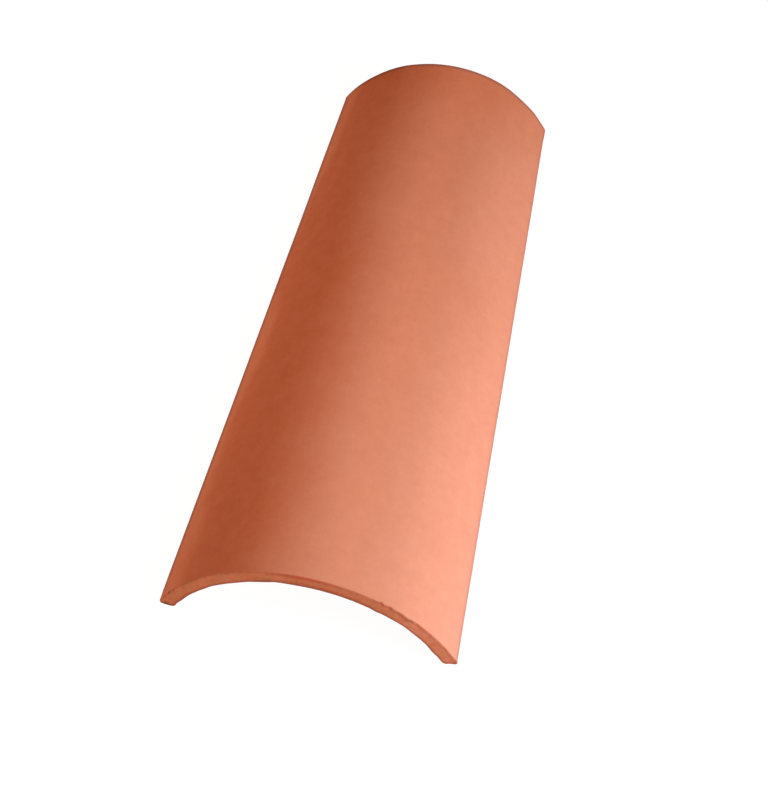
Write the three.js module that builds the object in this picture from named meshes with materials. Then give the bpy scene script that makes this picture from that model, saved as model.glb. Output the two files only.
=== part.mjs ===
// Clay roof tile: a tapered half-barrel cover tile, formed and fired in one piece.
//
// Millimetres, +Z up. +Y runs up the roof from the wide nose to the narrow head, and +X to the
// right of someone looking that way. The tile lies arch side up with its long edges on Z = 0,
// and the origin is on that surface, below the middle of the tile.

import * as THREE from 'three';

// Driving dimensions
const tileLength = 500;
const noseWidth = 210; // over both long edges, at the wide end
const headWidth = 160; // over both long edges, at the narrow end
const wallThickness = 11;
const bendAngle = 132; // degrees that the wall is bent through, the same at both ends
const arrisRadius = 2; // rounding along the four long corners of the wall
const rimRadius = 1; // rounding round the two end faces

// Faceting
const bendSteps = 66;
const arrisSteps = 4;
const rimSteps = 3;
const sharpestCorner = 0.3; // corner radius left where a rim rounding uses up the arris rounding

const firedClay = new THREE.MeshStandardMaterial({
  color: 0xc9734f,
  roughness: 0.88,
  metalness: 0,
});

const halfBend = THREE.MathUtils.degToRad(bendAngle / 2);
const quarterTurn = Math.PI / 2;

// Point at an angle from straight up, turning towards +X, round a centre in the XZ plane.
function polarPoint(centre, radius, angle) {
  const x = centre.x + radius * Math.sin(angle);
  const z = centre.y + radius * Math.cos(angle);
  return new THREE.Vector2(x, z);
}

function arcPoints(centre, radius, fromAngle, toAngle, steps) {
  const points = [];
  for (let step = 0; step <= steps; step += 1) {
    const angle = THREE.MathUtils.lerp(fromAngle, toAngle, step / steps);
    points.push(polarPoint(centre, radius, angle));
  }
  return points;
}

// Outer radius of a wall that measures `width` over its rounded long edges.
function outerRadius(width) {
  const arrisCentreX = width / 2 - arrisRadius;
  const alongEdge = (arrisCentreX + arrisRadius * Math.cos(halfBend)) / Math.sin(halfBend);
  return arrisRadius + Math.hypot(alongEdge, arrisRadius);
}

// Right half of the wall's outline, from just past the crown of the outer face, round the long
// edge, which is cut square to the wall, to just short of the crown of the inner face.
// `inset` draws the outline in all round.
function rightHalf(bendCentre, radius, inset) {
  const corner = Math.max(arrisRadius - inset, sharpestCorner);
  const cornerFromCut = inset + corner;

  const outer = radius - inset;
  const outerReach = outer - corner;
  const outerTurn = halfBend - Math.asin(cornerFromCut / outerReach);
  const outerCorner = polarPoint(bendCentre, outerReach, outerTurn);

  const inner = radius - wallThickness + inset;
  const innerReach = inner + corner;
  const innerTurn = halfBend - Math.asin(cornerFromCut / innerReach);
  const innerCorner = polarPoint(bendCentre, innerReach, innerTurn);

  const cutNormal = halfBend + quarterTurn;
  const towardsBendCentre = innerTurn + 2 * quarterTurn;
  return [
    ...arcPoints(bendCentre, outer, 0, outerTurn, bendSteps / 2).slice(1, -1),
    ...arcPoints(outerCorner, corner, outerTurn, cutNormal, arrisSteps),
    ...arcPoints(innerCorner, corner, cutNormal, towardsBendCentre, arrisSteps),
    ...arcPoints(bendCentre, inner, innerTurn, 0, bendSteps / 2).slice(1, -1),
  ];
}

// Closed outline of the wall, clockwise as seen from the nose, with both crowns on X = 0.
function wallOutline(width, inset) {
  const radius = outerRadius(width);
  const resting = rightHalf(new THREE.Vector2(0, 0), radius, 0);
  const bendCentre = new THREE.Vector2(0, -Math.min(...resting.map((point) => point.y)));

  const right = rightHalf(bendCentre, radius, inset);
  const left = right.map((point) => new THREE.Vector2(-point.x, point.y)).reverse();
  const outerCrown = polarPoint(bendCentre, radius - inset, 0);
  const innerCrown = polarPoint(bendCentre, radius - wallThickness + inset, 0);
  return [outerCrown, ...right, innerCrown, ...left];
}

// Rings of one end from the full wall outwards to the rim of the flat end face.
function endRings(width, endSign) {
  const rings = [];
  for (let step = 0; step <= rimSteps; step += 1) {
    const turn = (quarterTurn * step) / rimSteps;
    const inset = rimRadius * (1 - Math.cos(turn));
    const y = endSign * (tileLength / 2 - rimRadius * (1 - Math.sin(turn)));
    rings.push(wallOutline(width, inset).map((point) => new THREE.Vector3(point.x, y, point.y)));
  }
  return rings;
}

// Closed solid through rings of equal length, with a flat face over the first and the last.
function loftRings(rings) {
  const ringLength = rings[0].length;
  const indices = [];
  for (let ring = 0; ring < rings.length - 1; ring += 1) {
    for (let point = 0; point < ringLength; point += 1) {
      const here = ring * ringLength + point;
      const next = ring * ringLength + ((point + 1) % ringLength);
      indices.push(here, next, here + ringLength);
      indices.push(next, next + ringLength, here + ringLength);
    }
  }

  const lastRing = (rings.length - 1) * ringLength;
  const nearFace = rings[0].map((point) => new THREE.Vector2(point.x, point.z));
  for (const [a, b, c] of THREE.ShapeUtils.triangulateShape(nearFace, [])) {
    indices.push(a, b, c);
  }
  const farFace = rings[rings.length - 1].map((point) => new THREE.Vector2(point.x, point.z));
  for (const [a, b, c] of THREE.ShapeUtils.triangulateShape(farFace, [])) {
    indices.push(lastRing + a, lastRing + c, lastRing + b);
  }

  const geometry = new THREE.BufferGeometry().setFromPoints(rings.flat());
  geometry.setIndex(indices);
  geometry.computeVertexNormals();
  return geometry;
}

function makeBarrelTile() {
  const noseRings = endRings(noseWidth, -1).reverse();
  const headRings = endRings(headWidth, 1);
  const tile = new THREE.Mesh(loftRings([...noseRings, ...headRings]), firedClay);
  tile.name = 'barrel_tile';
  return tile;
}

const clayRoofTile = new THREE.Group();
clayRoofTile.name = 'clay_roof_tile';
clayRoofTile.add(makeBarrelTile());

export default clayRoofTile;
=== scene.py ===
"""Clay roof tile: a tapered half-barrel cover tile with its fired finish, as a Blender add-on."""

import math
from collections import namedtuple

import bmesh
import bpy
from bpy.props import FloatProperty, FloatVectorProperty, IntProperty, PointerProperty
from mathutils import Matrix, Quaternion, Vector
from mathutils.kdtree import KDTree


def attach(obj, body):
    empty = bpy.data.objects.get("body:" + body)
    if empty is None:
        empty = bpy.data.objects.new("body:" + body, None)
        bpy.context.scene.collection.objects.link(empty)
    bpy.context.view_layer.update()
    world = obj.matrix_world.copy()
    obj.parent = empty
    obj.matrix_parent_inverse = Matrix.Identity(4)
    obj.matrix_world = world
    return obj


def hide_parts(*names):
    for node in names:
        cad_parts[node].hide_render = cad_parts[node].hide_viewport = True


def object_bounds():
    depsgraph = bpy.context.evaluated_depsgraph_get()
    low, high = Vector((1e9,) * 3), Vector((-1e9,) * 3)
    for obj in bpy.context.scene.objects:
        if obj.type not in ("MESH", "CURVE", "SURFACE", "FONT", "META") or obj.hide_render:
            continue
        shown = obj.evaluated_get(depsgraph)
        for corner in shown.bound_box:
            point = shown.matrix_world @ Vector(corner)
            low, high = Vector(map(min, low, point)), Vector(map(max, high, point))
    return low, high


bl_info = {
    "name": "Barrel Roof Tile",
    "version": (1, 0, 0),
    "blender": (4, 5, 0),
    "location": "View3D > Sidebar > Roof Tile",
    "description": "Models a tapered clay barrel tile with its fired finish, and a studio for it",
    "category": "Add Mesh",
}

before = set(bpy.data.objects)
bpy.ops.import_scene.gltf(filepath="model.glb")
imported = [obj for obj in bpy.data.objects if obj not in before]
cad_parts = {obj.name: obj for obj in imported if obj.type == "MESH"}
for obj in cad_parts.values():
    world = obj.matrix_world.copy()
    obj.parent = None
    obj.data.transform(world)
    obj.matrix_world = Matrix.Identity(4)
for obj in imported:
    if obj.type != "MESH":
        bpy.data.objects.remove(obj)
cad_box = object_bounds()

TILE_NODE = "barrel_tile"
BODY = "root"

MM = 0.001
NOSE_Y = cad_box[0].y
HEAD_Y = cad_box[1].y
RIM_ZONE = 1.5 * MM


def frame_head_width():
    """Width over the long edges at the narrow end of the frame's tile."""
    corners = [v.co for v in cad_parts[TILE_NODE].data.vertices]
    across = [co.x for co in corners if co.y > HEAD_Y - RIM_ZONE]
    return max(across) - min(across)


# ---------------------------------------------------------------------------------- settings

# What the settings of one kind share.
LENGTH = {"subtype": "DISTANCE", "unit": "LENGTH"}
ANGLE = {"subtype": "ANGLE", "unit": "ROTATION"}
COLOR = {"subtype": "COLOR", "min": 0, "max": 1}


class TileShapeSettings(bpy.types.PropertyGroup):
    """Sizes of the tile, and of the marks that forming, cutting and drying leave on it."""

    length: FloatProperty(
        name="Length", default=HEAD_Y - NOSE_Y, min=0.1, **LENGTH,
        description="From the cut nose to the cut head",
    )
    nose_width: FloatProperty(
        name="Nose Width", default=cad_box[1].x - cad_box[0].x, min=0.05, **LENGTH,
        description="Over both long edges at the wide end",
    )
    head_width: FloatProperty(
        name="Head Width", default=frame_head_width(), min=0.05, **LENGTH,
        description="Over both long edges at the narrow end",
    )
    wall: FloatProperty(
        name="Wall Thickness", default=11 * MM, min=4 * MM, **LENGTH,
        description="Thickness of the clay, measured square to the arch",
    )
    bend: FloatProperty(
        name="Bend", default=math.radians(132),
        min=math.radians(60), max=math.radians(176), **ANGLE,
        description="Angle that the wall is bent through",
    )
    arris_radius: FloatProperty(
        name="Arris Radius", default=2.7 * MM, min=0.5 * MM, **LENGTH,
        description="Rounding along the four long corners",
    )
    rim_radius: FloatProperty(
        name="Rim Radius", default=1 * MM, min=0.2 * MM, **LENGTH,
        description="Rounding round both cut ends",
    )
    head_skew: FloatProperty(
        name="Head Skew", default=math.radians(2.18), **ANGLE,
        description="How far the head was cut out of square",
    )
    head_bow: FloatProperty(
        name="Head Bow", default=6.4 * MM, min=0, **LENGTH,
        description="How far the middle of the head's cut stands out beyond its two corners",
    )
    nose_bow: FloatProperty(
        name="Nose Bow", default=0.36 * MM, min=0, **LENGTH,
        description="How far the middle of the nose's cut stands out beyond its two corners",
    )
    warp: FloatProperty(
        name="Warp", default=0.5 * MM, min=0, **LENGTH,
        description="Height of the slow waves that drying leaves in the wall",
    )
    strokes: FloatProperty(
        name="Stroke Depth", default=0.12 * MM, min=0, **LENGTH,
        description="Depth of the long shallow marks of the forming tool",
    )
    tearing: FloatProperty(
        name="Tear Depth", default=0.5 * MM, min=0, **LENGTH,
        description="Depth of the texture that the cutting wire leaves on the cut faces",
    )
    arch_steps: IntProperty(
        name="Arch Steps", default=186, min=24, max=200,
        description="Faces round the arch",
    )


class StudioSettings(bpy.types.PropertyGroup):
    """Floor, lamps and surroundings of the studio."""

    floor_color: FloatVectorProperty(
        name="Floor", default=(0.88, 0.88, 0.88), **COLOR,
        description="Colour of the studio floor",
    )
    key_power: FloatProperty(
        name="Key Lamp", default=8.05, min=0, unit="POWER",
        description="Power of the large soft lamp beside the nose",
    )
    key_color: FloatVectorProperty(
        name="Key Colour", default=(1.0, 1.0, 1.0), **COLOR,
        description="Colour of the key lamp",
    )
    fill_power: FloatProperty(
        name="Fill Lamp", default=1.7, min=0, unit="POWER",
        description="Power of the soft lamp high on the left",
    )
    strip_power: FloatProperty(
        name="Strip Lamp", default=2.3, min=0, unit="POWER",
        description="Power of the long low lamp on the left",
    )
    fill_color: FloatVectorProperty(
        name="Fill Colour", default=(1.0, 0.9, 0.8), **COLOR,
        description="Colour of the lamps on the left",
    )
    front_power: FloatProperty(
        name="Front Lamp", default=2.4, min=0, unit="POWER",
        description="Power of the soft low lamp in front of the nose",
    )
    surround: FloatProperty(
        name="Surround", default=0.16, min=0,
        description="Strength of the even light from all round",
    )
    surround_color: FloatVectorProperty(
        name="Surround Colour", default=(1.0, 0.9, 0.8), **COLOR,
        description="Colour of the even light from all round",
    )


# ------------------------------------------------------------------------- modelling helpers


def deselect_objects():
    """Leaves no object selected."""
    for thing in bpy.context.selected_objects:
        thing.select_set(False)


def pick(kind, rule):
    """Selects, in edit mode, only the verts, edges or faces for which the rule holds."""
    mesh = bpy.context.object.data
    bpy.ops.mesh.select_mode(type={"verts": "VERT", "edges": "EDGE", "faces": "FACE"}[kind])
    bpy.ops.mesh.select_all(action="DESELECT")
    edit = bmesh.from_edit_mesh(mesh)
    for element in getattr(edit, kind):
        if rule(element):
            element.select_set(True)
    edit.select_flush_mode()
    bmesh.update_edit_mesh(mesh)


def pick_nearest(place):
    """Selects only the vertex nearest to a place."""
    mesh = bpy.context.object.data
    edit = bmesh.from_edit_mesh(mesh)
    nearest = min(edit.verts, key=lambda v: (v.co - place).length_squared)
    pick("verts", lambda v: v == nearest)


def dent(place, push, reach, falloff="SMOOTH"):
    """Pushes the clay at a place, fading out over the reach."""
    pick_nearest(place)
    bpy.ops.transform.translate(
        value=tuple(push),
        use_proportional_edit=True,
        proportional_edit_falloff=falloff,
        proportional_size=reach,
    )


def middle(element):
    """Middle point of an edge or a face."""
    return sum((v.co for v in element.verts), Vector()) / len(element.verts)


# ------------------------------------------------------------------------------ tile shape

ARRIS_STEP = 1.5  # width of the step beside a long edge, in arris radii
ARRIS_SEGMENTS = 5
RIM_SEGMENTS = 4
LONG_CORNER_ANGLE = math.radians(45)
END_CORNER_ANGLE = math.radians(60)
SHORT_EDGE = 0.4  # longest edge of a rounded corner, in wall thicknesses

FINE_END = 15 * MM
CRISP_END = 1.9 * MM
LONG_EDGE = 5 * MM
SMOOTH_ANGLE = math.radians(50)
THICKNESS_CUTS = 6
FINE_END_CUTS = 9
LENGTH_CUTS = (12, 11)

CROWN_STRIP = 0.01  # half the width of the part of a cut that is pushed, in widths
BOW_REACH = 0.6  # how far that push reaches, in widths
HEAD_CROWN_SHARE = 0.272
LEAN_REACH = 120 * MM
FLANK_SWELL = 0.7 * MM
FLANK_REACH = 10 * MM


def outer_radius(shape, width):
    """Outer radius of a wall that measures the width over its rounded long edges."""
    half = shape.bend / 2
    rounding = shape.arris_radius
    along = (width / 2 - rounding + rounding * math.cos(half)) / math.sin(half)
    return rounding + math.hypot(along, rounding)


def bend_centre(shape, radius):
    """Height of the bend's centre when the inner arrises rest on the ground."""
    half = shape.bend / 2
    rounding = shape.arris_radius
    reach = radius - shape.wall + rounding
    along = math.sqrt(reach**2 - rounding**2)
    return rounding - along * math.cos(half) - rounding * math.sin(half)


def arch_at(shape, y):
    """Outer radius of the arch and height of its centre at a place along the tile."""
    share = (y + shape.length / 2) / shape.length
    nose = outer_radius(shape, shape.nose_width)
    head = outer_radius(shape, shape.head_width)
    radius = nose + (head - nose) * share
    height = bend_centre(shape, nose) * (1 - share) + bend_centre(shape, head) * share
    return radius, height


def wall_place(shape, y, angle, depth=0.0):
    """Point in the wall at an angle from the crown, turning to +X, and a depth below the skin."""
    radius, height = arch_at(shape, y)
    reach = radius - depth
    return Vector((reach * math.sin(angle), y, height + reach * math.cos(angle)))


def lift_ends(nose_lift, head_lift):
    """Lifts each end of the wall by its own amount."""
    for end, lift in ((-1, nose_lift), (1, head_lift)):
        pick("verts", lambda v: v.co.y * end > 0)
        bpy.ops.transform.translate(value=(0, 0, lift))


def spin_wall(shape):
    """Bends a strip of clay into the arch, with square ends and sharp corners."""
    nose = outer_radius(shape, shape.nose_width)
    head = outer_radius(shape, shape.head_width)
    edge_angle = ARRIS_STEP * shape.arris_radius / (head - shape.wall)

    deselect_objects()
    bpy.ops.mesh.primitive_plane_add(size=1, rotation=(0, math.pi / 2, 0))
    bpy.ops.object.transform_apply(location=True, rotation=True, scale=True)
    bpy.ops.object.mode_set(mode="EDIT")
    bpy.ops.transform.resize(value=(1, shape.length, shape.wall))
    lift_ends(nose - shape.wall / 2, head - shape.wall / 2)

    bpy.ops.mesh.select_all(action="SELECT")
    centre = (0, 0, 0)
    for steps, angle in (
        (1, edge_angle),
        (shape.arch_steps, shape.bend - 2 * edge_angle),
        (1, edge_angle),
    ):
        bpy.ops.mesh.spin(steps=steps, angle=angle, center=centre, axis=(0, 1, 0))
    bpy.ops.mesh.select_all(action="SELECT")
    bpy.ops.transform.rotate(value=-shape.bend / 2, orient_axis="Y", center_override=centre)
    bpy.ops.mesh.normals_make_consistent(inside=False)
    lift_ends(bend_centre(shape, nose), bend_centre(shape, head))


def round_corners(shape):
    """Rounds the four long corners, and then the rims of both cut ends."""

    def is_long_corner(edge):
        runs_lengthwise = abs(edge.verts[0].co.y - edge.verts[1].co.y) > shape.length / 2
        return runs_lengthwise and edge.calc_face_angle() > LONG_CORNER_ANGLE

    def is_end_corner(edge):
        return edge.calc_face_angle() > END_CORNER_ANGLE

    for is_corner, radius, segments in (
        (is_long_corner, shape.arris_radius, ARRIS_SEGMENTS),
        (is_end_corner, shape.rim_radius, RIM_SEGMENTS),
    ):
        pick("edges", is_corner)
        bpy.ops.mesh.bevel(
            offset=radius, segments=segments, affect="EDGES", clamp_overlap=False
        )


def lay_rungs_in_end_corners(shape):
    """Turns the many-sided face at each end of each long edge into a ladder of quads."""
    pick("faces", lambda f: len(f.verts) > 4)
    bpy.ops.mesh.delete(type="ONLY_FACE")
    for end in (-1, 1):
        for side in (-1, 1):

            def is_arc(edge):
                place = middle(edge)
                here = place.y * end > 0 and place.x * side > 0
                is_short = edge.calc_length() < SHORT_EDGE * shape.wall
                return here and edge.is_boundary and is_short

            pick("edges", is_arc)
            bpy.ops.mesh.bridge_edge_loops()


def divide_wall(shape):
    """Cuts the wall into small faces, finest next to its ends."""
    near_end = shape.length / 2 - FINE_END

    for y in (-near_end, near_end, CRISP_END - shape.length / 2):
        bpy.ops.mesh.select_all(action="SELECT")
        bpy.ops.mesh.bisect(plane_co=(0, y, 0), plane_no=(0, 1, 0))

    def is_rung(edge):
        start, stop = (v.co for v in edge.verts)
        across = start - stop
        is_long = across.length > SHORT_EDGE * shape.wall
        return is_long and abs(across.y) < across.length / 2

    pick("edges", is_rung)
    bpy.ops.mesh.subdivide(number_cuts=THICKNESS_CUTS)

    def runs_lengthwise(edge):
        start, stop = (v.co for v in edge.verts)
        return abs(start.y - stop.y) > LONG_EDGE

    def is_near_end(edge):
        return runs_lengthwise(edge) and abs(middle(edge).y) > near_end

    pick("edges", is_near_end)
    bpy.ops.mesh.subdivide(number_cuts=FINE_END_CUTS)
    for cuts in LENGTH_CUTS:
        pick("edges", runs_lengthwise)
        bpy.ops.mesh.subdivide(number_cuts=cuts)


def skew_head(shape):
    """Turns the head's cut a little out of square."""
    head = Vector((0, shape.length / 2, 0))
    pick("verts", lambda v: v.co.y > 0)
    bpy.ops.transform.rotate(
        value=-shape.head_skew, orient_axis="Z", center_override=tuple(head)
    )


def bow_cut(end, bow, width, crown_share):
    """Bows an end's cut: its crown stands out by a share of the bow, and its corners stand in."""
    pick("verts", lambda v: v.co.y * end > 0)
    bpy.ops.transform.translate(value=(0, end * (crown_share - 1) * bow, 0))
    pick("verts", lambda v: v.co.y * end > 0 and abs(v.co.x) < CROWN_STRIP * width)
    bpy.ops.transform.translate(
        value=(0, end * bow, 0),
        use_proportional_edit=True,
        proportional_edit_falloff="INVERSE_SQUARE",
        proportional_size=BOW_REACH * width,
    )


def lean_corners(shape):
    """Lets each corner of the tile stand a little to one side of true, as it dried."""
    for end, side, shift in ((-1, -1, 1.83), (-1, 1, 1.4), (1, -1, -0.66), (1, 1, 0.95)):
        corner = wall_place(
            shape, end * shape.length / 2, side * shape.bend / 2, shape.wall / 2
        )
        dent(corner, Vector((shift * MM, 0, 0)), LEAN_REACH)


def swell_right_flank(shape):
    """Lets the right flank stand out along its arris, most of all at the nose."""
    corner = wall_place(shape, -shape.length / 2, shape.bend / 2)
    dent(corner, Vector((FLANK_SWELL, 0, 0)), FLANK_REACH)


def flatten_shoulders(shape):
    """Flattens both shoulders of the head a little, as the clay sagged on its former."""
    for angle, depth, reach in ((-43, 0.7, 30), (42, 0.75, 23)):
        turn = math.radians(angle)
        shoulder = wall_place(shape, shape.length / 2, turn)
        inwards = Vector((-math.sin(turn), 0, -math.cos(turn)))
        dent(shoulder, depth * MM * inwards, reach * MM)


# ------------------------------------------------------------------------- marks in the clay, and painted shade on its rims

CUT_GROUP = "cut_faces"
SKIN_GROUP = "skins"
RIM_GROUP = "rims"
PAINTED_RIM_SHADE = "rim_tint"

END_FACE_SLOPE = 0.9
LONG_CUT_SLOPE = 0.93
CRISP_RIM_SPREAD = 0.995
SOFT_RIM_SPREAD = 0.998

# Tints of the painted shade along the rims and arrises.
COOL_SHADE = Vector((0.55, 0.62, 0.86))
DEEP_SHADE = Vector((0.56, 0.43, 0.45))
RED_SHADE = Vector((0.80, 0.48, 0.48))
GREY_SHADE = Vector((0.70, 0.66, 0.72))

# Places round the arch, in degrees from the crown, turning to +X.
ARRIS_START = 62
FOOT_START = 64.5
HEAVY_HEAD_SHADE_END = -25
INNER_SHADE_MIDDLE = 5
INNER_SHADE_SPREAD = 38
LEFT_CHIP = -57.5
LEFT_CHIP_HALF = 0.8
LEFT_STREAK = -54.4
LEFT_STREAK_HALF = 0.6
FIRST_CHIP = 26.0
SECOND_CHIP = 29.4
THIRD_CHIP = 33.0
CHIP_HALF = 0.65
LINE_STARTS = (-18, -5)
GREY_LINE_STARTS = (1, 13)
PALE_STRETCH = (8, 23)
DARK_STRETCH = (33, 39)

HEAD_RIM_ZONE = 12 * MM
NOSE_RIM_ZONE = 5 * MM

# Size of one wave of the warp and of one stroke.
WARP_CELL = 130 * MM
STROKE_CELL = (9 * MM, 380 * MM, 9 * MM)


def is_cut(face, shape):
    """Whether a face lies on one of the four cut faces: nose, head or a long edge."""
    if abs(face.normal.y) > END_FACE_SLOPE:
        return True
    return is_long_cut(face.normal, middle(face), shape)


def is_long_cut(normal, place, shape):
    """Whether a normal at a place belongs to the cut face along a long edge."""
    half = shape.bend / 2
    side = math.copysign(1, place.x)
    outwards = Vector((side * math.cos(half), 0, -math.sin(half)))
    return normal.dot(outwards) > LONG_CUT_SLOPE


def is_rounded(vertex):
    """Whether a vertex lies on the rounding between a skin and a cut face."""
    slopes = [face.normal for face in vertex.link_faces]
    average = sum(slopes, Vector()).normalized()
    spread = min(average.dot(slope) for slope in slopes)
    in_crisp_rim = vertex.co.y < NOSE_Y + RIM_ZONE
    return spread < (CRISP_RIM_SPREAD if in_crisp_rim else SOFT_RIM_SPREAD)


def assign_group(tile, name, kind, rule):
    """Puts the picked elements' vertices in a vertex group."""
    group = tile.vertex_groups.get(name) or tile.vertex_groups.new(name=name)
    tile.vertex_groups.active_index = group.index
    pick(kind, rule)
    bpy.ops.object.vertex_group_assign()


def group_surfaces(tile, shape):
    """Names the skins, the cut faces and the rims, for the marks and the painted rim shade that
    each of them carries.
    """
    assign_group(tile, CUT_GROUP, "faces", lambda f: is_cut(f, shape))
    assign_group(tile, SKIN_GROUP, "faces", lambda f: not is_cut(f, shape))
    assign_group(tile, RIM_GROUP, "verts", is_rounded)


def clouds(name, size, depth=2):
    """A soft noise texture for displacing; size is that of its cells."""
    texture = bpy.data.textures.new(name, "CLOUDS")
    texture.noise_scale = size
    texture.noise_depth = depth
    return texture


def displace(tile, texture, depth, **values):
    """Pushes the clay in and out by a texture, over the depth."""
    modifier = tile.modifiers.new(texture.name, "DISPLACE")
    modifier.texture = texture
    modifier.strength = depth
    modifier.mid_level = 0.5
    modifier.texture_coords = "LOCAL"
    for key, value in values.items():
        setattr(modifier, key, value)
    bpy.ops.object.modifier_apply(modifier=modifier.name)


def warp_wall(tile, shape):
    """Lets the wall wander a little, as drying and firing leave it."""
    slow = clouds("drying_warp", WARP_CELL, depth=1)
    for direction, share in (("Z", 1.0), ("X", 0.6)):
        displace(tile, slow, 2 * share * shape.warp, direction=direction)


def stroke_skins(tile, shape):
    """Draws the long shallow strokes of the forming tool down both skins."""
    bpy.ops.object.empty_add(location=(0, 0, 0))
    stroke = bpy.context.object
    stroke.scale = STROKE_CELL
    bpy.context.view_layer.update()
    deselect_objects()
    tile.select_set(True)
    bpy.context.view_layer.objects.active = tile
    displace(
        tile, clouds("forming_strokes", 1.0, depth=1), 2 * shape.strokes,
        vertex_group=SKIN_GROUP, texture_coords="OBJECT", texture_coords_object=stroke,
    )
    bpy.data.objects.remove(stroke)


def tear_cuts(tile, shape):
    """Roughens the cut faces as a wire leaves them."""
    for name, size, share in (("wire_drag", 14 * MM, 0.6), ("torn_grain", 3.2 * MM, 0.5)):
        displace(tile, clouds(name, size), share * shape.tearing, vertex_group=CUT_GROUP)


def swell_left_foot(shape):
    """Swells and shortens the left foot at the nose, and draws in its inner corner."""
    nose = -shape.length / 2
    half = shape.bend / 2
    middle_of_cut = wall_place(shape, nose, -half, shape.wall / 2)
    outwards = Vector((-math.cos(half), 0, -math.sin(half)))
    dent(middle_of_cut, 1.5 * MM * outwards, 8 * MM)
    dent(middle_of_cut, Vector((0.4 * MM, 0, 0.9 * MM)), 14 * MM)
    inner_corner = wall_place(shape, nose, -half, shape.wall)
    dent(inner_corner, Vector((1.1 * MM, 0, 1.0 * MM)), 12 * MM)


def sharpen_right_foot(shape):
    """Shortens the right foot at the nose, with its inner corner drawn out to the arris."""
    nose = -shape.length / 2
    half = shape.bend / 2
    middle_of_cut = wall_place(shape, nose, half, shape.wall / 2)
    dent(middle_of_cut, Vector((0, 0, 1.5 * MM)), 14 * MM)
    inner_corner = wall_place(shape, nose, half, shape.wall)
    dent(inner_corner, Vector((0.7 * MM, 0, 0)), 5 * MM, falloff="SHARP")
    outer_corner = wall_place(shape, nose, half)
    dent(outer_corner, Vector((0.3 * MM, 0, -0.4 * MM)), 5 * MM, falloff="SHARP")


def sharpen_head_corners(shape):
    """Draws out the two outer corners of the head, where the cut leaves them sharp."""
    head = shape.length / 2
    for side, push, reach in ((-1, (-0.2, 0.9, 0), 6), (1, (0.2, 1.4, 0), 13)):
        corner = wall_place(shape, head, side * shape.bend / 2)
        dent(corner, MM * Vector(push), reach * MM)


def nick_rims(shape):
    """Knocks a few small nicks into the outer rim of the nose."""
    nose = -shape.length / 2
    back = Vector((0, 1, 0))
    down = Vector((0, 0, -1))

    for angle, push, reach in (
        (LEFT_CHIP, 0.9 * back + 0.4 * down, 1.6),
        (-35.0, 1.3 * back, 16.0),
        (16.6, 0.6 * back, 3.0),
        (FIRST_CHIP, 1.2 * back, 2.4),
        (SECOND_CHIP, 1.1 * back, 4.2),
        (THIRD_CHIP, 0.6 * back, 1.8),
        (36.6, 0.7 * down - 0.8 * back, 5.0),
        (41.8, 0.7 * back, 4.5),
        (57.2, 0.4 * back, 3.5),
    ):
        place = wall_place(shape, nose, math.radians(angle))
        dent(place, MM * push, reach * MM, falloff="SHARP")


def wander_inner_rim(shape):
    """Lets the nose's inner rim wander up and down, where the wall was pressed or left thick."""
    nose = -shape.length / 2
    for angle, lift, reach in (
        (-57, -1.0, 9),
        (-39, 0.4, 10),
        (-27, -0.3, 10),
        (-12, 0.8, 10),
        (-2, 0.2, 9),
        (14, 0.2, 10),
        (26.9, -0.8, 5),
        (39, 0.5, 10),
        (56.5, -1.1, 9),
    ):
        place = wall_place(shape, nose, math.radians(angle), shape.wall)
        dent(place, Vector((0, 0, lift * MM)), reach * MM)


def settle():
    """Lowers the tile until it rests on the ground."""
    edit = bmesh.from_edit_mesh(bpy.context.object.data)
    lowest = min(v.co.z for v in edit.verts)
    bpy.ops.mesh.select_all(action="SELECT")
    bpy.ops.transform.translate(value=(0, 0, -lowest))


# Painted shade on a rim: its tint and strength, how far it spreads, and how far towards the head
# at most.
RimShade = namedtuple("RimShade", "tint strength reach margin", defaults=(math.inf,))


def ease(value, start, stop):
    """Share of the way from start to stop, held between nought and one."""
    return min(1.0, max(0.0, (value - start) / (stop - start)))


def smooth(share):
    """A share that starts and ends gently."""
    return share * share * (3 - 2 * share)


def shade_on_head_rim(angle):
    """Painted shade on the head's rim, heaviest on its left."""
    if angle < HEAVY_HEAD_SHADE_END:
        return RimShade(COOL_SHADE, 1.0, 5 * MM)
    return RimShade(COOL_SHADE, 0.8, 3.2 * MM)


def shade_on_inner_rim(angle):
    """Painted shade on the nose's inner rim, which spreads furthest near the crown."""
    near_crown = 1 - ease(abs(angle - INNER_SHADE_MIDDLE), 0, INNER_SHADE_SPREAD)
    return RimShade(DEEP_SHADE, 0.9, (3 + 3.3 * near_crown) * MM)


def shade_on_outer_rim(angle):
    """A thin line of painted shade on the nose's outer rim, redder on the left and greyer on the
    right, darker in its chips.
    """
    if abs(angle - LEFT_CHIP) < LEFT_CHIP_HALF:
        return RimShade(DEEP_SHADE, 0.6, 0.9 * MM)
    if abs(angle - LEFT_STREAK) < LEFT_STREAK_HALF:
        return RimShade(DEEP_SHADE, 0.35, 0.9 * MM)
    if any(abs(angle - chip) < CHIP_HALF for chip in (FIRST_CHIP, SECOND_CHIP, THIRD_CHIP)):
        return RimShade(0.85 * DEEP_SHADE, 0.8, 1.2 * MM)
    to_grey = ease(angle, *GREY_LINE_STARTS)
    strength = ease(angle, *LINE_STARTS) * (0.85 + 0.15 * to_grey)
    tint = RED_SHADE.lerp(GREY_SHADE, to_grey)
    if PALE_STRETCH[0] < angle < PALE_STRETCH[1]:
        tint = 1.1 * tint
    if DARK_STRETCH[0] < angle < DARK_STRETCH[1]:
        tint = 0.84 * tint
    return RimShade(tint, strength, 1.6 * MM, margin=0.6 * MM)


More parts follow.
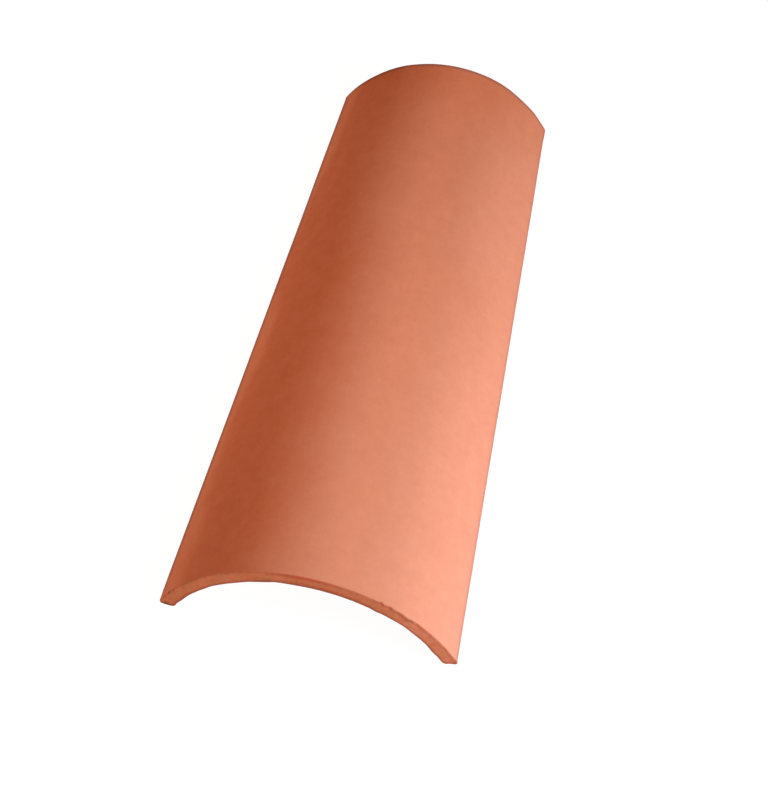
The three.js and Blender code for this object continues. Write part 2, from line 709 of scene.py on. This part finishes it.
def shade_on_arris(angle, towards_head):
    """Painted shade along a long arris, wide and heavy on the left, faint on the right."""
    if angle < 0:
        away_from_nose = ease(towards_head, 0, 1 / 12)
        return RimShade(COOL_SHADE, 0.95, (5.5 + 2.7 * away_from_nose + 1.2 * towards_head) * MM)
    return RimShade(COOL_SHADE, 0.55 - 0.13 * towards_head, (5 - 1.2 * towards_head) * MM)


def rim_shade_at(place, shape):
    """The painted shade on the rim at a place."""
    radius, height = arch_at(shape, place.y)
    angle = math.degrees(math.atan2(place.x, place.z - height))
    is_inner = radius - math.hypot(place.x, place.z - height) > shape.wall / 2

    if place.y > HEAD_Y - HEAD_RIM_ZONE:
        return shade_on_head_rim(angle)
    is_past_rim = place.y > NOSE_Y + RIM_ZONE
    on_outer_arris = is_past_rim and not is_inner and abs(angle) > ARRIS_START
    if place.y > NOSE_Y + NOSE_RIM_ZONE or on_outer_arris:
        return shade_on_arris(angle, (place.y - NOSE_Y) / (HEAD_Y - NOSE_Y))
    # Painted shade along the feet at the nose.
    if angle < -FOOT_START:
        return RimShade(0.55 * DEEP_SHADE, 1.0, 4.8 * MM)
    if angle > FOOT_START:
        return RimShade(DEEP_SHADE, 1.0, 3.2 * MM)
    return shade_on_inner_rim(angle) if is_inner else shade_on_outer_rim(angle)


def paint_rim_shade(tile, shape):
    """Stores the painted shade of every point, by how near it lies to a rim."""
    group = tile.vertex_groups[RIM_GROUP].index
    vertices = tile.data.vertices
    rims = []
    for vertex in vertices:
        if any(member.group == group for member in vertex.groups):
            rims.append((vertex.co, rim_shade_at(vertex.co, shape)))

    tree = KDTree(len(rims))
    for index, (place, _) in enumerate(rims):
        tree.insert(place, index)
    tree.balance()

    white = Vector((1, 1, 1))
    tints = []
    for vertex in vertices:
        rim, index, distance = tree.find(vertex.co)
        nearest_shade = rims[index][1]
        share = nearest_shade.strength * smooth(1 - ease(distance, 0, nearest_shade.reach))
        if vertex.co.y > rim.y + nearest_shade.margin:
            share = 0.0
        tints.extend((*white.lerp(nearest_shade.tint, share), 1))
    bpy.ops.geometry.attribute_add(name=PAINTED_RIM_SHADE, domain="POINT", data_type="FLOAT_COLOR")
    tile.data.attributes[PAINTED_RIM_SHADE].data.foreach_set("color", tints)


def form_tile(shape):
    """Forms the tile's solid, cuts and marks it, paints shade along its rims, and returns its
    object.
    """
    spin_wall(shape)
    round_corners(shape)
    lay_rungs_in_end_corners(shape)
    skew_head(shape)
    bow_cut(1, shape.head_bow, shape.head_width, crown_share=HEAD_CROWN_SHARE)
    bow_cut(-1, shape.nose_bow, shape.nose_width, crown_share=0)
    lean_corners(shape)
    swell_right_flank(shape)
    flatten_shoulders(shape)
    divide_wall(shape)
    tile = bpy.context.object
    tile.name = "fired_tile"
    group_surfaces(tile, shape)
    bpy.ops.object.mode_set(mode="OBJECT")
    warp_wall(tile, shape)
    stroke_skins(tile, shape)
    tear_cuts(tile, shape)
    bpy.ops.object.mode_set(mode="EDIT")
    swell_left_foot(shape)
    sharpen_right_foot(shape)
    sharpen_head_corners(shape)
    wander_inner_rim(shape)
    nick_rims(shape)
    settle()
    bpy.ops.object.mode_set(mode="OBJECT")
    paint_rim_shade(tile, shape)
    bpy.ops.object.shade_smooth_by_angle(angle=SMOOTH_ANGLE)
    return tile


# ---------------------------------------------------------------------------------- finishes

# A mix node's inputs share their names, so its factor, both ends and result go by number.
MIX_SLOTS = {"FLOAT": (0, 2, 3, 0), "RGBA": (0, 6, 7, 2)}

NOISE_RANGE = (0.3, 0.7)


def node(tree, kind, name, **values):
    """Adds a node with its settings, and a label made from its name."""
    made = tree.nodes.new(kind)
    made.name = name
    made.label = name.replace("_", " ").capitalize()
    for key, value in values.items():
        setattr(made, key, value)
    return made


def plug(source, socket):
    """Feeds an input with a value or with another node's result."""
    if isinstance(source, bpy.types.NodeSocket):
        socket.id_data.links.new(source, socket)
    else:
        socket.default_value = source


def feed(made, *in_order, **by_name):
    """Feeds a node's inputs, in order or by name, and returns its results."""
    for source, socket in zip(in_order, made.inputs):
        plug(source, socket)
    for name, source in by_name.items():
        plug(source, made.inputs[name.replace("_", " ")])
    return made.outputs


def emptied_tree(owner):
    """The node tree of a material or a world, with nothing in it yet."""
    owner.use_nodes = True
    owner.node_tree.nodes.clear()
    return owner.node_tree


def new_group(name, inputs, outputs):
    """A shader node group with its place, named inputs and outputs, and its two end nodes."""
    group = bpy.data.node_groups.new(name, "ShaderNodeTree")
    group.interface.new_socket(name="Place", in_out="INPUT", socket_type="NodeSocketVector")
    for socket_name, default in inputs.items():
        kind = "NodeSocketColor" if isinstance(default, tuple) else "NodeSocketFloat"
        socket = group.interface.new_socket(name=socket_name, in_out="INPUT", socket_type=kind)
        socket.default_value = default
    for socket_name, kind in outputs.items():
        group.interface.new_socket(name=socket_name, in_out="OUTPUT", socket_type=kind)
    start = node(group, "NodeGroupInput", "group_input")
    end = node(group, "NodeGroupOutput", "group_output")
    return group, start.outputs, end.inputs


def noise(tree, name, place, scale, detail=2.0, roughness=0.5):
    """A noise texture at a place."""
    made = node(tree, "ShaderNodeTexNoise", name)
    return feed(made, Vector=place, Scale=scale, Detail=detail, Roughness=roughness)["Fac"]


def remap(tree, name, value, low, high, to_low=0.0, to_high=1.0, gently=False):
    """Maps a value from one range to another, clamped."""
    curve = "SMOOTHSTEP" if gently else "LINEAR"
    made = node(tree, "ShaderNodeMapRange", name, interpolation_type=curve)
    return feed(made, value, low, high, to_low, to_high)["Result"]


def combine(tree, name, how, first, second):
    """A math node on two sockets or numbers."""
    return feed(node(tree, "ShaderNodeMath", name, operation=how), first, second)["Value"]


def blend(tree, name, factor, first, second, how="MIX", kind="RGBA"):
    """Mixes two colours, or two numbers, by a factor; each may be a socket or a value."""
    made = node(tree, "ShaderNodeMix", name, data_type=kind, blend_type=how)
    *slots, result = MIX_SLOTS[kind]
    for slot, source in zip(slots, (factor, first, second)):
        plug(source, made.inputs[slot])
    return made.outputs[result]


def scatter_dots(tree, name, place, scale, edge, lot, rarity):
    """A mask of small round dots, in the few cells of the clay that a lottery draws."""
    cells = node(tree, "ShaderNodeTexVoronoi", name + "_cells")
    cell = feed(cells, Vector=place, Scale=scale, Randomness=1.0)
    dot = remap(tree, name + "_edge", cell["Distance"], *edge, 1.0, 0.0, gently=True)
    chance = feed(node(tree, "ShaderNodeSeparateColor", name + "_lottery"), cell["Color"])
    drawn = combine(tree, name + "_drawn", "GREATER_THAN", chance[lot], rarity)
    return combine(tree, name, "MULTIPLY", dot, drawn)


# Where each tone, with the painted shade, sheen, highlight and bounce light it carries, starts
# and ends across the arch, from -1 at the left edge to 1 at the right.
CROWN_EDGE = (-0.645, 0.117)
FLANK_EDGE = (0.264, 1.0)
SHOULDER_RISE = (0.1, 0.45)
SHOULDER_FALL = (0.5, 0.95)
LEFT_FOOT_EDGE = (-0.88, -0.97)
HEAD_EDGE = (0.86, 1.0)  # along the tile, from nought at the nose to 1 at the head
FLECK_EDGE = (0.48, 0.68)

# Painted shade on the right shoulder.
SHOULDER_SHADE = (0.83, 0.90, 0.925, 1)
# Painted bounce light by the left foot.
BOUNCE_LIGHT_TINT = (1.0, 0.33, 0.15, 1)
# Darkens and reddens the head's end.
HEAD_END_TINT = (0.883, 0.633, 0.433, 1)
IRON = (0.12, 0.035, 0.02, 1)
# Painted shadow in the pin-holes.
PIT_SHADOW = (0.2, 0.06, 0.03, 1)
GRAIN_SWING = (1.0, 0.53, 0.38)
PIT_SHADE = 0.5
CLAY_SHEEN = 0.06

# Cells of each pattern in a metre.
CLOUD_SCALE = 9.0
GRAIN_SCALE = 75.0
SPECK_SCALE = 95.0
WAVE_SCALE = 95.0
PIN_HOLE_SCALE = 160.0
RED_FLECK_SCALE = 160.0
OCHRE_FLECK_SCALE = 240.0
DRAG_SCALE = 420.0
DRAG_STRETCH = 0.012


def build_clay_tone():
    """Colour of fired clay: painted shade on the left flank and right shoulder, painted sheen on
    the crown, a painted highlight on the right flank and painted bounce light by the left foot,
    all with slowly wandering edges; darker towards the head's end; small mottles, fine grain and
    a few iron specks.
    """
    group, given, results = new_group(
        "clay_tone",
        {
            "Fire Side": (0.8, 0.2, 0.09, 1),
            "Nose Crown": (0.8, 0.28, 0.16, 1),
            "Head Crown": (0.8, 0.28, 0.16, 1),
            "Nose Flank": (0.8, 0.3, 0.17, 1),
            "Head Flank": (0.8, 0.3, 0.17, 1),
            "Left Foot": 0.0,
            "Shoulder": 0.0,
            "Flash": 0.0,
            "Deep": (0.7, 0.2, 0.1, 1),
            "Half Length": HEAD_Y,
            "Nose Half Width": cad_box[1].x,
            "Head Half Width": frame_head_width() / 2,
            "Clouds": 0.3,
            "Mottles": 0.2,
            "Mottle Scale": 120.0,
            "Fleck": (0.7, 0.13, 0.06, 1),
            "Flecks": 0.0,
            "Ochre": (0.6, 0.25, 0.1, 1),
            "Ochre Flecks": 0.0,
            "Grain": 0.1,
            "Specks": 0.3,
        },
        {"Color": "NodeSocketColor", "Mottle": "NodeSocketFloat"},
    )
    place = given["Place"]

    # Slow noise that moves where the tones, with their painted shade, sheen and highlight, start
    # and end.
    slow = noise(group, "kiln_clouds", place, CLOUD_SCALE)
    split = feed(node(group, "ShaderNodeSeparateXYZ", "across"), place)
    along = combine(group, "share_of_half", "DIVIDE", split["Y"], given["Half Length"])
    along = remap(group, "along", along, -1.0, 1.0)
    half_widths = (given["Nose Half Width"], given["Head Half Width"])
    half_width = blend(group, "half_width_here", along, *half_widths, kind="FLOAT")
    across = combine(group, "flank", "DIVIDE", split["X"], half_width)
    drift = remap(group, "cloud_drift", slow, *NOISE_RANGE, -1.0, 1.0)
    drift = combine(group, "cloud_share", "MULTIPLY", drift, given["Clouds"])
    across = combine(group, "clouded_flank", "ADD", across, drift)

    # Painted light across the arch: the left clay carries painted shade, the crown painted sheen
    # and the right flank a painted highlight.
    crown = blend(group, "crown_clay", along, given["Nose Crown"], given["Head Crown"])
    near_crown = remap(group, "near_crown", across, *CROWN_EDGE, gently=True)
    color = blend(group, "flashed_clay", near_crown, given["Fire Side"], crown)
    flank = blend(group, "flank_clay", along, given["Nose Flank"], given["Head Flank"])
    near_flank = remap(group, "near_flank", across, *FLANK_EDGE, gently=True)
    color = blend(group, "cooled_clay", near_flank, color, flank)
    # Painted shade in a band on the right shoulder.
    rise = remap(group, "shoulder_rise", across, *SHOULDER_RISE, gently=True)
    fall = remap(group, "shoulder_fall", across, *SHOULDER_FALL, 1.0, 0.0, gently=True)
    shoulder = combine(group, "near_shoulder", "MULTIPLY", rise, fall)
    shoulder = combine(group, "shoulder_share", "MULTIPLY", shoulder, given["Shoulder"])
    color = blend(group, "dusky_shoulder", shoulder, color, SHOULDER_SHADE, "MULTIPLY")
    # Painted bounce light along the left foot.
    foot = remap(group, "near_left_foot", across, *LEFT_FOOT_EDGE, gently=True)
    foot = combine(group, "foot_share", "MULTIPLY", foot, given["Left Foot"])
    color = blend(group, "scuffed_foot", foot, color, BOUNCE_LIGHT_TINT)
    # Darker and redder towards the head's end.
    head = remap(group, "near_head", along, *HEAD_EDGE, gently=True)
    head = combine(group, "flash_share", "MULTIPLY", head, given["Flash"])
    color = blend(group, "flashed_head", head, color, HEAD_END_TINT, "MULTIPLY")

    small = noise(group, "mottle", place, given["Mottle Scale"], detail=4.0, roughness=0.6)
    small = remap(group, "mottle_range", small, *NOISE_RANGE)
    mottled = combine(group, "mottle_share", "MULTIPLY", small, given["Mottles"])
    color = blend(group, "mottled_clay", mottled, color, given["Deep"])

    for kind, scale, tint, amount in (
        ("red", RED_FLECK_SCALE, given["Fleck"], given["Flecks"]),
        ("ochre", OCHRE_FLECK_SCALE, given["Ochre"], given["Ochre Flecks"]),
    ):
        patches = noise(group, kind + "_patches", place, scale)
        patches = remap(group, kind + "_edges", patches, *FLECK_EDGE, gently=True)
        patches = combine(group, kind + "_share", "MULTIPLY", patches, amount)
        color = blend(group, kind + "_flecks", patches, color, tint)

    fine = noise(group, "fine_grain", place, GRAIN_SCALE, detail=5.0, roughness=0.9)
    swing = remap(group, "grain_range", fine, *NOISE_RANGE, -1.0, 1.0)
    swing = combine(group, "grain_share", "MULTIPLY", swing, given["Grain"])
    grained = node(group, "ShaderNodeVectorMath", "grained_clay", operation="MULTIPLY_ADD")
    color = feed(grained, swing, GRAIN_SWING, color)["Vector"]

    spot = scatter_dots(group, "speck", place, SPECK_SCALE, (0.05, 0.09), "Red", 0.97)
    spot = combine(group, "speck_share", "MULTIPLY", spot, given["Specks"])
    color = blend(group, "specked_clay", spot, color, IRON)

    plug(color, results["Color"])
    plug(small, results["Mottle"])


def build_clay_relief():
    """Fine relief of fired clay: sand grain, slow unevenness, drag lines and pin-holes."""
    group, given, results = new_group(
        "clay_relief",
        {"Sand": 0.5, "Sand Scale": 900.0, "Waves": 0.5, "Drag": 0.2, "Pin-holes": 0.5},
        {"Height": "NodeSocketFloat", "Hollow": "NodeSocketFloat"},
    )
    place = given["Place"]

    sand = noise(group, "sand", place, given["Sand Scale"], detail=3.0, roughness=0.65)
    height = combine(group, "sand_share", "MULTIPLY", sand, given["Sand"])

    waves = noise(group, "slow_waves", place, WAVE_SCALE)
    waves = combine(group, "wave_share", "MULTIPLY", waves, given["Waves"])
    height = combine(group, "sand_on_waves", "ADD", height, waves)

    stretch = node(group, "ShaderNodeMapping", "drag_stretch")
    stretched = feed(stretch, Vector=place, Scale=(1.0, DRAG_STRETCH, 1.0))["Vector"]
    drag = noise(group, "drag_lines", stretched, DRAG_SCALE, detail=3.0, roughness=0.7)
    drag = combine(group, "drag_share", "MULTIPLY", drag, given["Drag"])
    height = combine(group, "with_drag", "ADD", height, drag)

    hole = scatter_dots(group, "pin_hole", place, PIN_HOLE_SCALE, (0.04, 0.14), "Green", 0.9)
    hole = combine(group, "pin_hole_share", "MULTIPLY", hole, given["Pin-holes"])
    height = combine(group, "with_pin_holes", "SUBTRACT", height, hole)

    plug(height, results["Height"])
    plug(hole, results["Hollow"])


def use_group(tree, name, place, values):
    """Uses a node group in a material with the material's own values."""
    made = node(tree, "ShaderNodeGroup", name, node_tree=bpy.data.node_groups[name])
    return feed(made, Place=place, **values)


def clay_material(name, tone, relief, bump_height, roughness):
    """A clay finish from the shared tone and relief, with the painted shade of the rims over it
    and painted shadow in its pin-holes.
    """
    material = bpy.data.materials.new(name)
    tree = emptied_tree(material)
    place = node(tree, "ShaderNodeTexCoord", "object_place").outputs["Object"]
    tone_here = use_group(tree, "clay_tone", place, tone)
    relief_here = use_group(tree, "clay_relief", place, relief)

    # Painted shade along the rims, from the tile's stored tint.
    tint = node(tree, "ShaderNodeAttribute", "rim_tint", attribute_name=PAINTED_RIM_SHADE)
    color = blend(
        tree, "tinted_rims", 1.0, tone_here["Color"], tint.outputs["Color"], "MULTIPLY"
    )
    # Painted shadow in the pin-holes.
    hollows = combine(tree, "hollow_shade", "MULTIPLY", relief_here["Hollow"], PIT_SHADE)
    color = blend(tree, "shaded_hollows", hollows, color, PIT_SHADOW)
    rough = remap(tree, "roughness", tone_here["Mottle"], 0.0, 1.0, *roughness)
    bump = node(tree, "ShaderNodeBump", "relief")
    bumped = feed(bump, Strength=1.0, Distance=bump_height, Height=relief_here["Height"])

    clay = node(tree, "ShaderNodeBsdfPrincipled", "fired_clay")
    feed(clay, color, Roughness=rough, Specular_IOR_Level=CLAY_SHEEN, Normal=bumped["Normal"])
    feed(node(tree, "ShaderNodeOutputMaterial", "surface"), clay.outputs["BSDF"])
    return material


CUT_SLOT = 1
UNDERSIDE_SLOT = 2
NOSE_SLOPE = -0.12


def finish_tile(tile, shape):
    """Gives each part of the tile its clay: skin, cut faces and underside."""
    build_clay_tone()
    build_clay_relief()
    skin = clay_material(
        "fired_clay_skin",
        tone={
            # The skin's tones: painted shade on the left flank, painted sheen on the crown and a
            # painted highlight on the right flank, over the clay's own colour.
            "Fire Side": (0.716, 0.162, 0.065, 1),
            "Nose Crown": (0.763, 0.286, 0.175, 1),
            "Head Crown": (0.854, 0.269, 0.144, 1),
            "Nose Flank": (0.750, 0.314, 0.219, 1),
            "Head Flank": (0.803, 0.303, 0.186, 1),
            # Painted shade on the right shoulder.
            "Shoulder": 0.5,
            # Painted bounce light by the left foot.
            "Left Foot": 0.3,
            # Darker and redder towards the head's end.
            "Flash": 0.3,
            "Deep": (0.654, 0.160, 0.066, 1),
            "Clouds": 0.1,
            "Mottles": 0.11,
            "Mottle Scale": 110.0,
            "Grain": 0.03,
            "Specks": 0.08,
        },
        relief={
            "Sand": 0.5, "Sand Scale": 1000.0, "Waves": 0.9, "Drag": 0.12, "Pin-holes": 0.35
        },
        bump_height=0.12 * MM,
        roughness=(0.72, 0.82),
    )
    cut = clay_material(
        "fired_clay_cut",
        tone={
            "Fire Side": (0.70, 0.185, 0.085, 1),
            "Nose Crown": (0.66, 0.176, 0.082, 1),
            "Head Crown": (0.66, 0.176, 0.082, 1),
            "Nose Flank": (0.77, 0.245, 0.14, 1),
            "Head Flank": (0.70, 0.190, 0.090, 1),
            "Deep": (0.50, 0.175, 0.070, 1),
            "Clouds": 0.2,
            "Mottles": 0.6,
            "Mottle Scale": 190.0,
            "Fleck": (0.74, 0.150, 0.073, 1),
            "Flecks": 0.6,
            "Ochre": (0.62, 0.215, 0.095, 1),
            "Ochre Flecks": 0.45,
            "Grain": 0.06,
            "Specks": 0.8,
        },
        relief={
            "Sand": 1.0, "Sand Scale": 700.0, "Waves": 1.5, "Drag": 0.0, "Pin-holes": 1.0
        },
        bump_height=0.3 * MM,
        roughness=(0.8, 0.95),
    )
    underside = clay_material(
        "fired_clay_underside",
        tone={
            "Fire Side": (0.72, 0.20, 0.09, 1),
            "Nose Crown": (0.74, 0.22, 0.11, 1),
            "Head Crown": (0.74, 0.22, 0.11, 1),
            "Nose Flank": (0.72, 0.25, 0.14, 1),
            "Head Flank": (0.72, 0.25, 0.14, 1),
            "Deep": (0.58, 0.17, 0.08, 1),
            "Clouds": 0.6,
            "Mottles": 0.6,
            "Mottle Scale": 70.0,
            "Grain": 0.04,
            "Specks": 0.6,
        },
        relief={
            "Sand": 1.0, "Sand Scale": 520.0, "Waves": 1.4, "Drag": 0.5, "Pin-holes": 0.8
        },
        bump_height=0.3 * MM,
        roughness=(0.8, 0.92),
    )
    for material in (skin, cut, underside):
        bpy.ops.object.material_slot_add()
        tile.material_slots[tile.active_material_index].material = material

    def is_inside(face):
        centre = middle(face)
        _, height = arch_at(shape, centre.y)
        from_axis = Vector((centre.x, 0, centre.z - height))
        return face.normal.dot(from_axis) < 0

    def is_nose(face):
        return face.normal.y < NOSE_SLOPE and middle(face).y < NOSE_Y + RIM_ZONE

    bpy.ops.object.mode_set(mode="EDIT")
    cut_group = tile.vertex_groups[CUT_GROUP].index
    edit = bmesh.from_edit_mesh(tile.data)
    weights = edit.verts.layers.deform.active
    for slot, rule in (
        (UNDERSIDE_SLOT, is_inside),
        (CUT_SLOT, lambda f: all(cut_group in v[weights] for v in f.verts)),
        (CUT_SLOT, is_nose),
    ):
        tile.active_material_index = slot
        pick("faces", rule)
        bpy.ops.object.material_slot_assign()
    bpy.ops.object.mode_set(mode="OBJECT")


# ------------------------------------------------------------------------------------ studio

CAMERA_AZIMUTH = math.radians(7.79)
CAMERA_HEIGHT = math.radians(53.54)
CAMERA_ROLL = math.radians(5.285)
CAMERA_DISTANCE = 1.91517
CAMERA_LENS = 118.18
AIM_HEIGHT = 30 * MM
AIM_ACROSS = 1.12 * MM
AIM_UP = -47.48 * MM
SENSOR_WIDTH = 36
FAR_CLIP = 50

FLOOR_SIZE = 12
FLOOR_GLOW = 0.97
SHADOW_COLOR = (0.1, 0.1, 0.1, 1)
WHITE = (1, 1, 1, 1)


def away(azimuth, elevation):
    """Direction from the tile towards an azimuth, from the nose turning right, and elevation."""
    flat = math.cos(elevation)
    return Vector(
        (math.sin(azimuth) * flat, -math.cos(azimuth) * flat, math.sin(elevation))
    )


def sees_background(tree):
    """One for the rays that show the background, and nought for those that light the tile."""
    rays = node(tree, "ShaderNodeLightPath", "light_path").outputs
    shown = (rays["Is Camera Ray"], rays["Is Glossy Ray"])
    seen = combine(tree, "seen_or_mirrored", "MAXIMUM", *shown)
    return combine(tree, "seen", "MAXIMUM", seen, rays["Is Transmission Ray"])


def make_floor(studio):
    """A pale floor that looks white, keeps the tile's shadow and is clear from below."""
    deselect_objects()
    bpy.ops.mesh.primitive_plane_add(size=FLOOR_SIZE)
    floor = bpy.context.object
    floor.name = "studio_floor"
    material = bpy.data.materials.new("studio_floor")
    tree = emptied_tree(material)

    def shade(kind, name, *sources):
        """Adds a shader node that is fed in order, and gives its result."""
        return feed(node(tree, kind, name), *sources)[0]

    lit = shade("ShaderNodeBsdfDiffuse", "lit_floor", (*studio.floor_color, 1))
    faint = shade("ShaderNodeBsdfDiffuse", "shadow_catch", SHADOW_COLOR)
    glow = shade("ShaderNodeEmission", "white_ground", WHITE, FLOOR_GLOW)
    bright = shade("ShaderNodeAddShader", "white_floor", faint, glow)
    shown = shade("ShaderNodeMixShader", "choose_floor", sees_background(tree), lit, bright)
    below = node(tree, "ShaderNodeNewGeometry", "seen_side").outputs["Backfacing"]
    camera = tree.nodes["light_path"].outputs["Is Camera Ray"]
    from_below = combine(tree, "camera_below", "MULTIPLY", below, camera)
    clear = shade("ShaderNodeBsdfTransparent", "clear_from_below")
    open_floor = shade("ShaderNodeMixShader", "open_floor", from_below, shown, clear)
    feed(node(tree, "ShaderNodeOutputMaterial", "surface"), open_floor)
    floor.data.materials.append(material)


def light_surround(studio):
    """An even warm light from all round, in front of a white background."""
    world = bpy.data.worlds.new("studio_surround")
    bpy.context.scene.world = world
    tree = emptied_tree(world)
    even = node(tree, "ShaderNodeBackground", "even_light")
    lit = feed(even, (*studio.surround_color, 1), studio.surround)[0]
    white = feed(node(tree, "ShaderNodeBackground", "white_surround"), WHITE, 1.0)[0]
    choose = node(tree, "ShaderNodeMixShader", "choose_surround")
    shown = feed(choose, sees_background(tree), lit, white)[0]
    feed(node(tree, "ShaderNodeOutputWorld", "world_surface"), shown)


def hang_lamp(name, place, target, size, power, color):
    """A soft lamp at a place, turned towards the target; size is its width and its height."""
    turn = (target - place).to_track_quat("-Z", "Z").to_euler()
    bpy.ops.object.light_add(type="AREA", location=place, rotation=turn)
    lamp = bpy.context.object
    lamp.name = name
    lamp.data.shape = "RECTANGLE"
    lamp.data.size, lamp.data.size_y = size
    lamp.data.energy = power
    lamp.data.color = color
    lamp.visible_camera = False


def set_camera():
    """The camera in front of the nose, high up and tilted a little to one side."""
    back = away(CAMERA_AZIMUTH, CAMERA_HEIGHT)
    facing = back.to_track_quat("Z", "Y") @ Quaternion((0, 0, 1), CAMERA_ROLL)
    across = facing @ Vector((1, 0, 0))
    up = facing @ Vector((0, 1, 0))
    aim = Vector((0, 0, AIM_HEIGHT)) + AIM_ACROSS * across + AIM_UP * up
    bpy.ops.object.camera_add(
        location=aim + CAMERA_DISTANCE * back, rotation=facing.to_euler()
    )
    camera = bpy.context.object
    camera.name = "studio_camera"
    camera.data.lens = CAMERA_LENS
    camera.data.sensor_width = SENSOR_WIDTH
    camera.data.clip_end = FAR_CLIP
    bpy.context.scene.camera = camera


def make_studio(studio):
    """Lays the floor, hangs the lamps and sets the camera."""
    make_floor(studio)
    light_surround(studio)
    tile = (0.03, -0.06, 0.03)
    edge = (0, 0, 0.05)
    nose = (0, -0.25, 0.04)
    cool = studio.key_color
    warm = studio.fill_color
    for name, place, target, size, power, color in (
        ("key_lamp", (0.7, -0.32, 0.55), tile, (0.5, 0.5), studio.key_power, cool),
        ("fill_lamp", (-0.9, 0, 0.7), tile, (0.5, 0.5), studio.fill_power, warm),
        ("strip_lamp", (-0.75, 0, 0.07), edge, (1.2, 0.14), studio.strip_power, warm),
        ("front_lamp", (0.1, -1.25, 0.16), nose, (0.6, 0.25), studio.front_power, cool),
    ):
        hang_lamp(name, Vector(place), Vector(target), size, power, color)
    set_camera()
    bpy.context.scene.view_settings.view_transform = "Standard"


# --------------------------------------------------------------------------------- operators


class CLAYTILE_OT_make_tile(bpy.types.Operator):
    """Form the tile, cut its ends, mark the clay and give it the fired finish"""

    bl_idname = "clay_tile.make_tile"
    bl_label = "Make Tile"

    def execute(self, context):
        shape = context.scene.clay_tile_shape
        tile = form_tile(shape)
        finish_tile(tile, shape)
        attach(tile, BODY)
        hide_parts(TILE_NODE)
        return {"FINISHED"}


class CLAYTILE_OT_make_studio(bpy.types.Operator):
    """Lay the floor, hang the lamps and set the camera"""

    bl_idname = "clay_tile.make_studio"
    bl_label = "Make Studio"

    def execute(self, context):
        make_studio(context.scene.clay_tile_studio)
        return {"FINISHED"}


class CLAYTILE_PT_sidebar(bpy.types.Panel):
    """Settings and buttons of the roof tile"""

    bl_label = "Roof Tile"
    bl_space_type = "VIEW_3D"
    bl_region_type = "UI"
    bl_category = "Roof Tile"

    def draw(self, context):
        layout = self.layout
        for heading, settings, operator in (
            ("Tile", context.scene.clay_tile_shape, CLAYTILE_OT_make_tile),
            ("Studio", context.scene.clay_tile_studio, CLAYTILE_OT_make_studio),
        ):
            box = layout.box()
            box.label(text=heading)
            for name in settings.__annotations__:
                box.prop(settings, name)
            box.operator(operator.bl_idname)


CLASSES = (
    TileShapeSettings,
    StudioSettings,
    CLAYTILE_OT_make_tile,
    CLAYTILE_OT_make_studio,
    CLAYTILE_PT_sidebar,
)


def register():
    """Registers the classes and gives the scene its settings."""
    for cls in CLASSES:
        bpy.utils.register_class(cls)
    bpy.types.Scene.clay_tile_shape = PointerProperty(type=TileShapeSettings)
    bpy.types.Scene.clay_tile_studio = PointerProperty(type=StudioSettings)


def unregister():
    """Takes the settings and the classes away again."""
    del bpy.types.Scene.clay_tile_studio
    del bpy.types.Scene.clay_tile_shape
    for cls in reversed(CLASSES):
        bpy.utils.unregister_class(cls)


def main():
    register()
    bpy.ops.clay_tile.make_tile()
    bpy.ops.clay_tile.make_studio()


if __name__ == "__main__":
    main()
